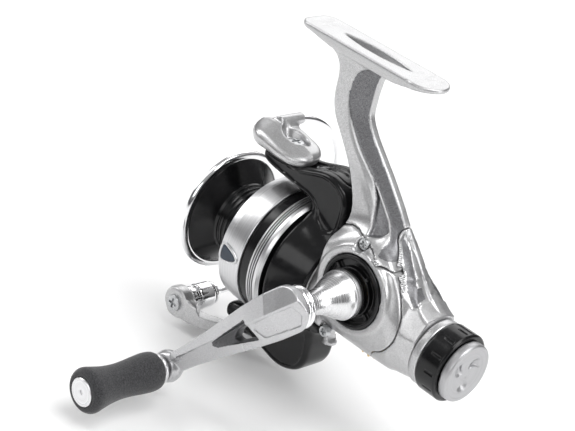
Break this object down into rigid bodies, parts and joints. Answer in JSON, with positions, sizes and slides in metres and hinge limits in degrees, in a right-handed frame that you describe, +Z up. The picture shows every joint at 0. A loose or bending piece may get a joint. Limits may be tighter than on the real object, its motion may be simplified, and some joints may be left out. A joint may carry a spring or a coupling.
{
  "type": "spinning reel",
  "caption": "Rear-drag spinning reel with long stem and foot, folding-wire bail, skirted spool, bell-shaped crank hub and foam handle knob.",
  "frame": {"origin": "centre of the foot's flat top face, where the rod's reel seat bears", "axes": "+X along the rod towards the spool and line, +Y to the handle side (left), +Z up to the rod, out of the foot's top face"},
  "size_m": [0.1207, 0.1315, 0.1231],
  "materials": {
    "body_paint": "satin silver paint",
    "machined_alloy": "satin machined",
    "black_plastic": "gloss",
    "spool_chrome": "polished",
    "clip_plastic": "satin",
    "knob_foam": "matt foam",
    "steel": "plain",
    "brass": "plain"
  },
  "bodies": {
    "frame": {"body_housing": "body_paint", "side_cover": "body_paint", "rear_cover": "body_paint", "bearing_cap": "black_plastic", "socket_cap": "machined_alloy", "cover_screws": "steel", "crank_bearing_left": "steel", "crank_bearing_right": "steel", "pinion_bearing": "steel", "pinion_bush": "brass", "one_way_clutch": "steel", "bearing_retainer": "steel", "guide_rod": "steel", "oscillation_post": "steel", "drag_housing": "body_paint", "drag_washers": "brass", "drag_spring": "steel"},
    "crank": {"drive_gear": "brass", "oscillation_pinion": "steel", "crank_hub": "machined_alloy", "crank_collar": "spool_chrome", "handle_arm": "machined_alloy", "knob_spindle": "steel"},
    "handle_knob": {"knob_grip": "knob_foam", "knob_sleeve": "machined_alloy", "knob_end_cap": "machined_alloy"},
    "rotor": {"rotor": "black_plastic", "arm_cover_upper": "black_plastic", "arm_cover_lower": "black_plastic", "pinion": "brass", "clutch_sleeve": "steel", "rotor_nut": "steel", "bail_spring": "steel", "balance_weight": "steel", "bail_screws": "steel"},
    "bail": {"bail_lever": "body_paint", "bail_arm": "body_paint", "bail_wire": "spool_chrome", "roller_screw": "steel"},
    "line_roller": {"line_roller": "spool_chrome", "roller_bush": "black_plastic"},
    "oscillation_wheel": {"oscillation_gear": "brass"},
    "slider": {"slider_block": "brass"},
    "spool": {"main_shaft": "steel", "shaft_collars": "steel", "spool_body": "black_plastic", "spool_lip": "spool_chrome", "skirt_band_front": "spool_chrome", "skirt_band_rear": "spool_chrome", "line_clip": "clip_plastic", "click_wheel": "brass", "button_spring": "steel"},
    "drag_sleeve": {"drag_sleeve": "steel"},
    "release_button": {"spool_button": "machined_alloy"},
    "drag_knob": {"drag_ring": "black_plastic", "drag_cap": "machined_alloy"},
    "drag_nut": {"drag_nut": "brass"},
    "anti_reverse": {"anti_reverse_lever": "body_paint"}
  },
  "joints": [
    {"name": "crank_turn", "type": "hinge", "parent": "frame", "child": "crank", "pos_m": [-0.026, 0, -0.07225], "axis": [0, 1, 0], "continuous": true},
    {"name": "knob_spin", "type": "hinge", "parent": "crank", "child": "handle_knob", "pos_m": [0.01281, 0.065, -0.11535], "axis": [0, 1, 0], "continuous": true},
    {"name": "rotor_turn", "type": "hinge", "parent": "frame", "child": "rotor", "pos_m": [0, 0, -0.082], "axis": [1, 0, 0], "continuous": true},
    {"name": "bail_open", "type": "hinge", "parent": "rotor", "child": "bail", "pos_m": [0.024, 0, -0.082], "axis": [0, 0, 1], "range_deg": [0, 105]},
    {"name": "roller_spin", "type": "hinge", "parent": "bail", "child": "line_roller", "pos_m": [0.047, 0.0056, -0.118], "axis": [0, 1, 0], "continuous": true},
    {"name": "oscillation_turn", "type": "hinge", "parent": "frame", "child": "oscillation_wheel", "pos_m": [-0.03394, 0.006, -0.0845], "axis": [0, 1, 0], "continuous": true},
    {"name": "spool_stroke", "type": "slide", "parent": "frame", "child": "slider", "axis": [1, 0, 0], "range_m": [0, 0.012]},
    {"name": "spool_turn", "type": "hinge", "parent": "slider", "child": "spool", "pos_m": [0, 0, -0.082], "axis": [1, 0, 0], "continuous": true},
    {"name": "sleeve_turn", "type": "hinge", "parent": "frame", "child": "drag_sleeve", "pos_m": [-0.052, 0, -0.082], "axis": [1, 0, 0], "continuous": true},
    {"name": "button_press", "type": "slide", "parent": "spool", "child": "release_button", "axis": [-1, 0, 0], "range_m": [0, 0.0012], "stiffness_N_per_m": 200, "deforming": ["button_spring"]},
    {"name": "drag_turn", "type": "hinge", "parent": "frame", "child": "drag_knob", "pos_m": [-0.062, 0, -0.082], "axis": [1, 0, 0], "range_deg": [0, 720]},
    {"name": "drag_nut_slide", "type": "slide", "parent": "frame", "child": "drag_nut", "axis": [1, 0, 0], "range_m": [0, 0.0016], "deforming": ["drag_spring"]},
    {"name": "anti_reverse_switch", "type": "hinge", "parent": "frame", "child": "anti_reverse", "pos_m": [-0.012, 0, -0.0944], "axis": [1, 0, 0], "range_deg": [0, 30]}
  ],
  "couplings": [
    {"joint": "rotor_turn", "follows": "crank_turn", "ratio": 4.375},
    {"joint": "oscillation_turn", "follows": "crank_turn", "ratio": -0.63636},
    {"joint": "sleeve_turn", "follows": "spool_turn", "ratio": 1},
    {"joint": "drag_turn", "follows": "drag_nut_slide", "rad_per_m": 7853.9}
  ]
}
